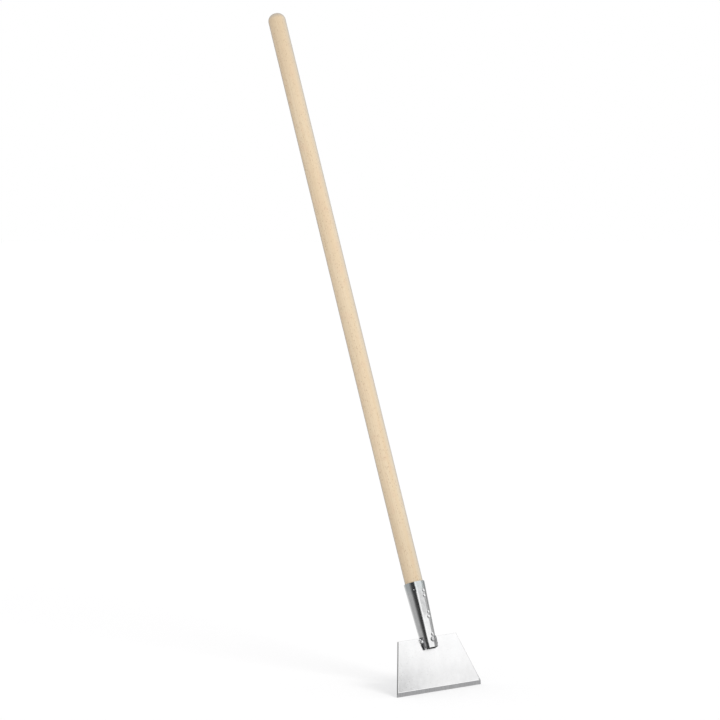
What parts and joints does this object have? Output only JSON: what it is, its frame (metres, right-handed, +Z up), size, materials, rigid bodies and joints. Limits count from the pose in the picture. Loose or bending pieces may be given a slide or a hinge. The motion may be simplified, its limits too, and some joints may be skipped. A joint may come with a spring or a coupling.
{
  "type": "push scraper",
  "caption": "Long-handled push scraper: flat trapezoid steel blade in line with a round wooden handle, welded into a tapered steel socket.",
  "frame": {"origin": "on the handle's axis, level with the cutting edge", "axes": "+Z up along the handle, X along the cutting edge, -Y out of the bevelled front face of the blade"},
  "size_m": [0.2, 0.0388, 1.3],
  "materials": {
    "beech": "sanded, unvarnished pale beech with fine short flecks",
    "plated_steel": "zinc-plated rolled sheet, semi-bright",
    "plate_steel": "zinc-plated flat plate, satin, with a ground bevel",
    "weld_metal": "plated weld beads, bright and lumpy",
    "nail_steel": "bright zinc-plated nail"
  },
  "bodies": {
    "root": {"handle": "beech", "socket": "plated_steel", "blade": "plate_steel", "seam_tack_top": "weld_metal", "seam_tack_middle": "weld_metal", "seam_tack_bottom": "weld_metal", "fillet_weld_front_left": "weld_metal", "fillet_weld_front_right": "weld_metal", "fillet_weld_rear_left": "weld_metal", "fillet_weld_rear_right": "weld_metal", "fixing_nail": "nail_steel"}
  },
  "joints": []
}
